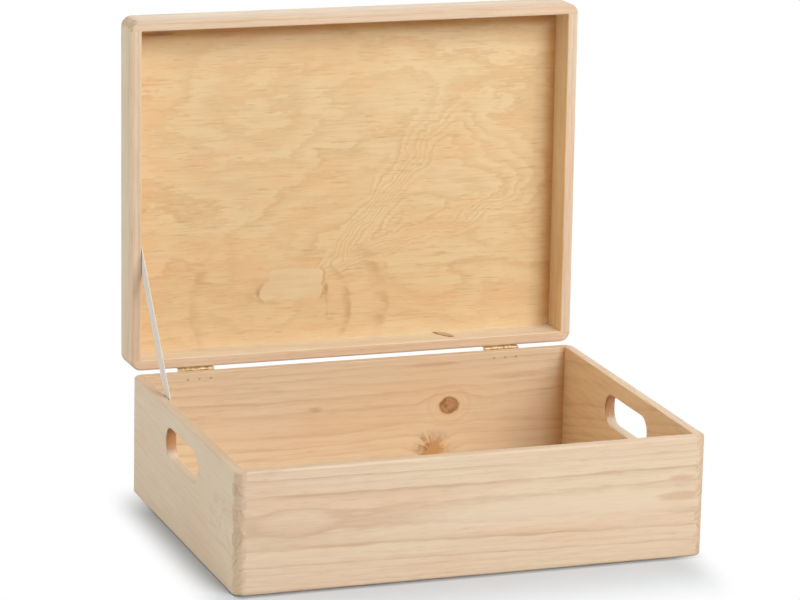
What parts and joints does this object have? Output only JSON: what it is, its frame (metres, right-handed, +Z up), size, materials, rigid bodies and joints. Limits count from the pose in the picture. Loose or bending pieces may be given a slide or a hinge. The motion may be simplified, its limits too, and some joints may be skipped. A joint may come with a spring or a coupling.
{
  "type": "lidded storage box",
  "caption": "Lidded wooden storage box with finger-jointed walls, plywood bottom and lid panel, side hand holes, butt hinges at the back and a ribbon lid stay.",
  "frame": {"origin": "centre of the base's underside, on the surface that the box stands on", "axes": "+X to the right along the box's length, +Y to the back where the hinges are, +Z up"},
  "size_m": [0.4, 0.3407, 0.4039],
  "materials": {
    "pine": "sanded, unfinished",
    "plywood": "rotary-cut pine plywood, sanded, unfinished",
    "brass": "brass plated",
    "ribbon": "woven white ribbon"
  },
  "bodies": {
    "base": {"front_board": "pine", "back_board": "pine", "left_board": "pine", "right_board": "pine", "bottom_panel": "plywood", "left_hinge_base_leaf": "brass", "left_hinge_pin": "brass", "left_hinge_base_nails": "brass", "right_hinge_base_leaf": "brass", "right_hinge_pin": "brass", "right_hinge_base_nails": "brass", "lid_stay": "ribbon", "stay_base_tack": "brass"},
    "lid": {"lid_front_rail": "pine", "lid_back_rail": "pine", "lid_left_rail": "pine", "lid_right_rail": "pine", "lid_panel": "plywood", "left_hinge_lid_leaf": "brass", "left_hinge_lid_nails": "brass", "right_hinge_lid_leaf": "brass", "right_hinge_lid_nails": "brass", "stay_lid_tack": "brass"}
  },
  "joints": [
    {"name": "lid_hinge", "type": "hinge", "parent": "base", "child": "lid", "pos_m": [0, 0.1518, 0.10215], "axis": [1, 0, 0], "range_deg": [0, 91], "deforming": ["lid_stay"]}
  ]
}
